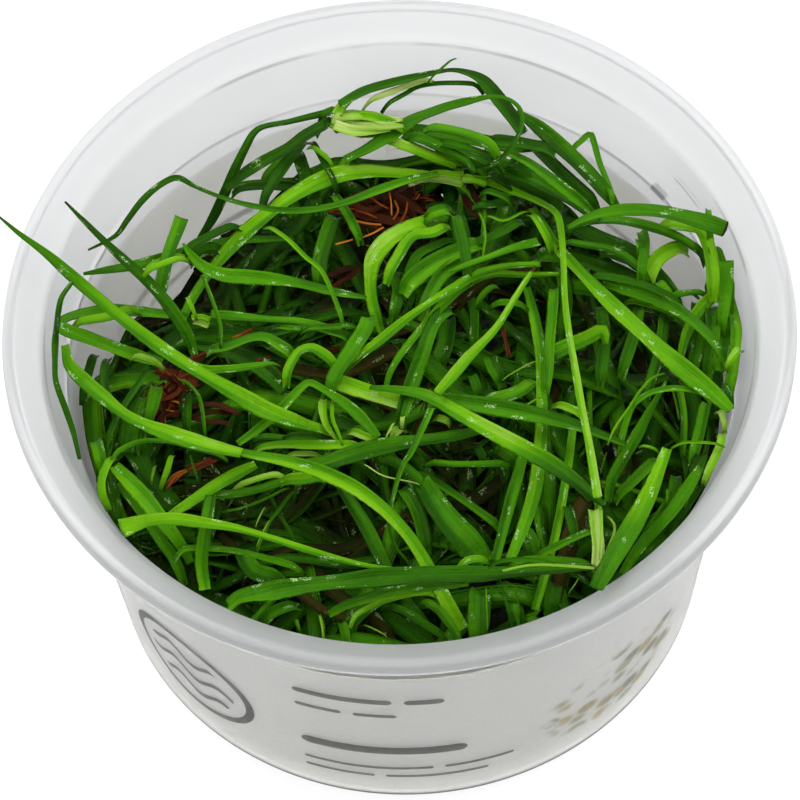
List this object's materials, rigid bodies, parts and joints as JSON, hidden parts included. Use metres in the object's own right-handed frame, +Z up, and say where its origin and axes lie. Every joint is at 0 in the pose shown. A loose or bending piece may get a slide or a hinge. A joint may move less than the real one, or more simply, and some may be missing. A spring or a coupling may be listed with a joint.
{
  "type": "tissue culture creeping rush in its tub",
  "caption": "Round translucent tub with a flared rim and a wrapped label, open at the top, filled with a tangle of grass-like rush leaves with pale crowns and brown roots.",
  "frame": {"origin": "centre of the flat underside of the tub", "axes": "+Z up, out of the tub's mouth; -Y towards the front of the label; +X to the right as seen from the front"},
  "size_m": [0.101, 0.101, 0.0627],
  "materials": {
    "tub": "translucent, milky, smooth",
    "label": "satin film with grey print",
    "leaf": "fresh wet leaf, glossy in patches",
    "undergrowth": "dark tangled leaves",
    "crown": "pale yellow-green sheaths, wet",
    "roots": "wet orange-brown fibres"
  },
  "bodies": {
    "root": {"crown_back": "crown", "crown_front": "crown", "crown_left": "crown", "crown_middle": "crown", "label": "label", "leaf_01": "leaf", "leaf_02": "leaf", "leaf_03": "leaf", "leaf_04": "leaf", "leaf_05": "leaf", "leaf_06": "leaf", "leaf_07": "leaf", "leaf_08": "leaf", "leaf_09": "leaf", "leaf_10": "leaf", "leaf_11": "leaf", "leaf_12": "leaf", "leaf_13": "leaf", "leaf_14": "leaf", "leaf_15": "leaf", "leaf_16": "leaf", "leaf_17": "leaf", "leaf_18": "leaf", "leaf_19": "leaf", "leaf_20": "leaf", "leaf_21": "leaf", "leaf_22": "leaf", "leaf_23": "leaf", "leaf_24": "leaf", "leaf_25": "leaf", "leaf_26": "leaf", "leaf_27": "leaf", "leaf_28": "leaf", "leaf_29": "leaf", "leaf_30": "leaf", "leaf_31": "leaf", "leaf_32": "leaf", "leaf_33": "leaf", "leaf_34": "leaf", "leaf_35": "leaf", "leaf_36": "leaf", "leaf_37": "leaf", "leaf_38": "leaf", "leaf_39": "leaf", "leaf_40": "leaf", "leaf_41": "leaf", "leaf_42": "leaf", "leaf_43": "leaf", "leaf_44": "leaf", "leaf_45": "leaf", "leaf_46": "leaf", "leaf_47": "leaf", "leaf_48": "leaf", "leaf_49": "leaf", "leaf_50": "leaf", "roots_back": "roots", "roots_left": "roots", "tub": "tub", "undergrowth": "undergrowth"}
  },
  "joints": []
}
